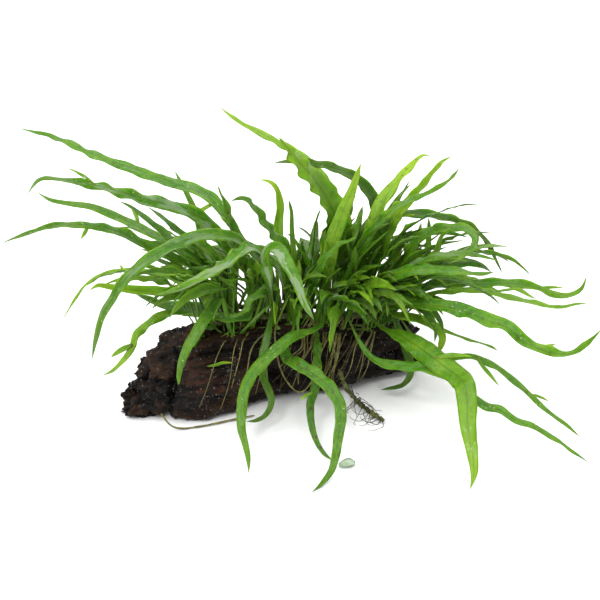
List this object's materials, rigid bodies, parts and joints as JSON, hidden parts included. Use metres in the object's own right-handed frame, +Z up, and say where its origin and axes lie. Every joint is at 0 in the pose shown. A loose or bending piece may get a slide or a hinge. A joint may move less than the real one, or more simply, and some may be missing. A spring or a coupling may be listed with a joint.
{
  "type": "java fern on driftwood",
  "caption": "Narrow-leaved java fern rooted on a dark piece of driftwood, its long wavy fronds arching out to all sides and down to the table.",
  "frame": {"origin": "on the flat underside of the driftwood, at table height, under the point where the whole part balances", "axes": "+X along the log to its right end, +Y away from the front, +Z up"},
  "size_m": [0.3967, 0.2747, 0.1941],
  "materials": {
    "driftwood": "satin",
    "rhizome": "satin",
    "root": "satin",
    "leaf": "gloss",
    "young_leaf": "gloss",
    "old_leaf": "gloss"
  },
  "bodies": {
    "root": {"driftwood_log": "driftwood", "fallen_stalk": "root", "frond_back_far_right": "leaf", "frond_back_left": "old_leaf", "frond_back_middle": "old_leaf", "frond_back_right": "leaf", "frond_front_dark": "old_leaf", "frond_front_left": "leaf", "frond_front_right": "leaf", "frond_front_spotted": "leaf", "frond_left_arch": "leaf", "frond_left_broad": "leaf", "frond_left_curl": "leaf", "frond_left_dark": "old_leaf", "frond_left_far": "leaf", "frond_left_high": "leaf", "frond_left_level": "young_leaf", "frond_left_on_wood": "leaf", "frond_left_over_wood": "leaf", "frond_left_pale": "leaf", "frond_left_slim": "leaf", "frond_left_spotted": "leaf", "frond_left_thin": "young_leaf", "frond_left_twisted": "young_leaf", "frond_left_upright": "leaf", "frond_middle_back": "old_leaf", "frond_middle_dark": "old_leaf", "frond_middle_front": "leaf", "frond_middle_left": "leaf", "frond_middle_low": "leaf", "frond_middle_sheen": "leaf", "frond_middle_tall": "leaf", "frond_right_behind": "leaf", "frond_right_dark_arch": "old_leaf", "frond_right_drooping": "leaf", "frond_right_fold": "leaf", "frond_right_foot": "old_leaf", "frond_right_high": "leaf", "frond_right_level": "leaf", "frond_right_long": "leaf", "frond_right_long_thin": "young_leaf", "frond_right_loop": "young_leaf", "frond_right_low_thin": "leaf", "frond_right_small_arch": "leaf", "frond_right_speckled": "young_leaf", "frond_right_thread": "young_leaf", "frond_right_to_table": "leaf", "frond_right_upright": "leaf", "frond_right_wavy": "leaf", "frond_right_yellow": "young_leaf", "frond_slim_upright": "young_leaf", "frond_top_bright": "young_leaf", "frond_top_broad": "leaf", "frond_top_dark": "old_leaf", "frond_top_long": "young_leaf", "frond_young_upright": "young_leaf", "rhizome_back": "rhizome", "rhizome_front": "rhizome", "rhizome_tip": "rhizome", "root_loop": "root"}
  },
  "joints": []
}
